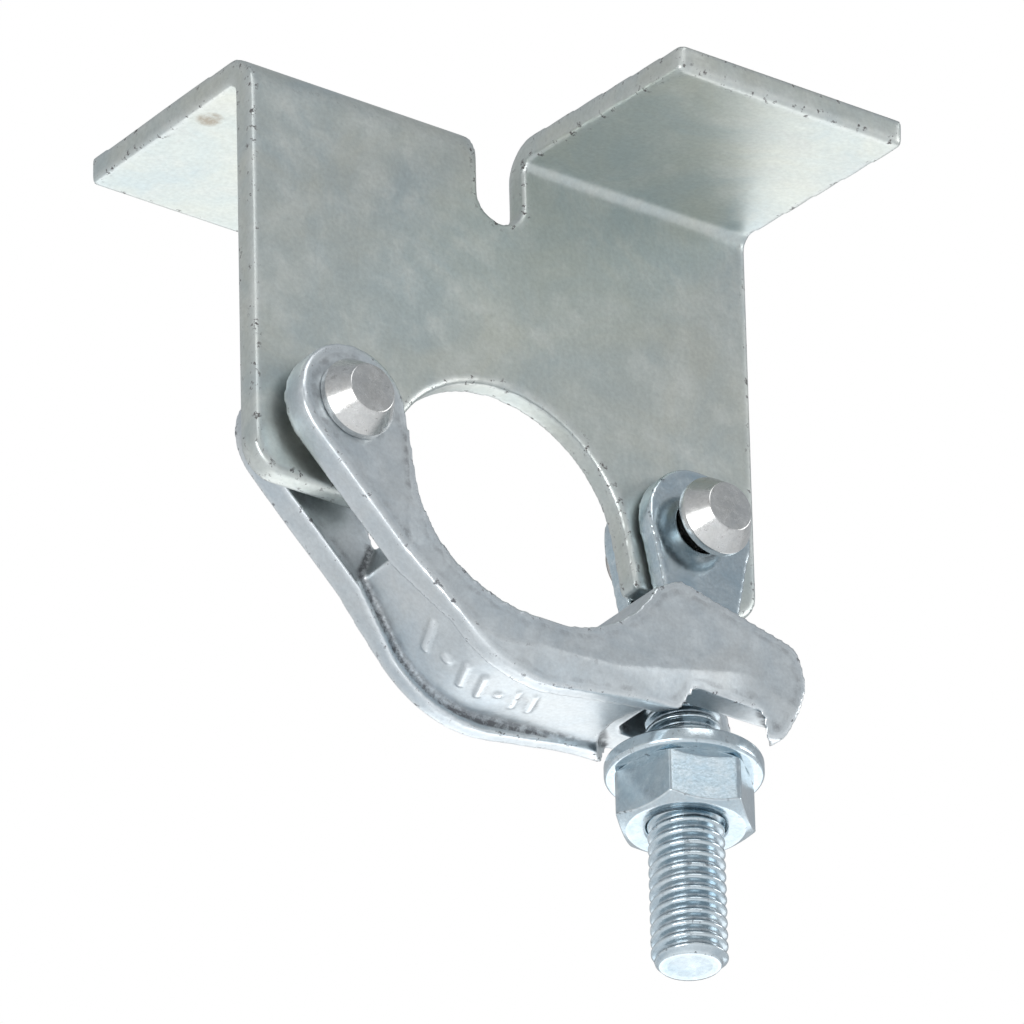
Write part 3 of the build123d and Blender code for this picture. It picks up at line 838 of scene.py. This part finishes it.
# Each grime colour is used for specks of dirt and for painted shade in the hollows.
sheet_zinc = metal(
    "sheet_zinc", warm=(0.60, 0.62, 0.57), cool=(0.52, 0.58, 0.58), pale=(0.66, 0.68, 0.65),
    bright=(0.72, 0.75, 0.76), grime_and_shade=(0.13, 0.12, 0.12), cloud_scale=42.0, grain_scale=1300.0,
    rough=(0.36, 0.48), wear_and_highlight_amount=0.25, dirt_and_shade_amount=0.9, grain_height=0.015,
)
forged_zinc = metal(
    "forged_zinc", warm=(0.62, 0.65, 0.66), cool=(0.55, 0.61, 0.65), pale=(0.66, 0.70, 0.72),
    bright=(0.80, 0.84, 0.86), grime_and_shade=(0.12, 0.12, 0.13), cloud_scale=60.0, grain_scale=1500.0,
    rough=(0.34, 0.44), wear_and_highlight_amount=0.75, dirt_and_shade_amount=0.85, grain_height=0.02,
)
bright_zinc = metal(
    "bright_zinc", warm=(0.55, 0.62, 0.66), cool=(0.46, 0.57, 0.64), pale=(0.66, 0.74, 0.78),
    bright=(0.85, 0.92, 0.95), grime_and_shade=(0.10, 0.12, 0.14), cloud_scale=120.0, grain_scale=1800.0,
    rough=(0.14, 0.26), wear_and_highlight_amount=0.5, dirt_and_shade_amount=0.75, grain_height=0.012,
)
rivet_steel = metal(
    "rivet_steel", warm=(0.60, 0.59, 0.57), cool=(0.54, 0.55, 0.55), pale=(0.70, 0.70, 0.69),
    bright=(0.85, 0.85, 0.84), grime_and_shade=(0.15, 0.14, 0.13), cloud_scale=160.0, grain_scale=2200.0,
    rough=(0.2, 0.32), wear_and_highlight_amount=0.3, dirt_and_shade_amount=0.3, grain_height=0.012,
)
print("materials", [m.name for m in bpy.data.materials])


# %% A brown stain under the back tab
STAIN_PLACE = (-0.0465, 0.0150, 0.0690)
STAIN_COLOUR = (0.30, 0.25, 0.19, 1.0)
STAIN_END = 0.0026
STAIN_FULL = 0.0016
tree = sheet_zinc.node_tree
stain_distance = tree.nodes.new("ShaderNodeVectorMath")
stain_distance.operation = "DISTANCE"
stain_distance.inputs[1].default_value = STAIN_PLACE
stain_place = tree.nodes.new("ShaderNodeTexCoord").outputs["Object"]
tree.links.new(stain_place, stain_distance.inputs[0])
stain_patches = noise_node(tree, stain_place, 600.0, 4.0, 0.7)
stain_mask = math_node(
    tree, "MULTIPLY",
    stretch(tree, stain_distance.outputs["Value"], STAIN_END, STAIN_FULL),
    stretch(tree, stain_patches, 0.35, 0.6, 0.15, 0.8),
)
colour_socket = tree.nodes["Principled BSDF"].inputs["Base Color"]
plated = colour_socket.links[0].from_socket
tree.links.new(mix_colours(tree, stain_mask, plated, STAIN_COLOUR), colour_socket)
print("stain at", STAIN_PLACE)


# %% [markdown]
# ## Put it together
# Each piece takes its material and the body it moves with. The rivets stay
# with the plate, the washer slides on the bolt and the nut turns against it.

# %% Materials and bodies
for piece, material, slot_name, body in (
    (plate, sheet_zinc, "plate_zinc", "body_plate"),
    (rivets[0], rivet_steel, "rivet_steel", "body_plate"),
    (rivets[1], rivet_steel, "rivet_steel", "body_plate"),
    (flap, forged_zinc, "forged_zinc", "flap"),
    (bolt, bright_zinc, "bright_zinc", "swing_bolt"),
    (washer, bright_zinc, "bright_zinc", "washer"),
    (nut, bright_zinc, "bright_zinc", "nut"),
):
    piece.data.materials.clear()
    piece.data.materials.append(material)
    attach(piece, body)
    print(piece.name, "rides on", body)
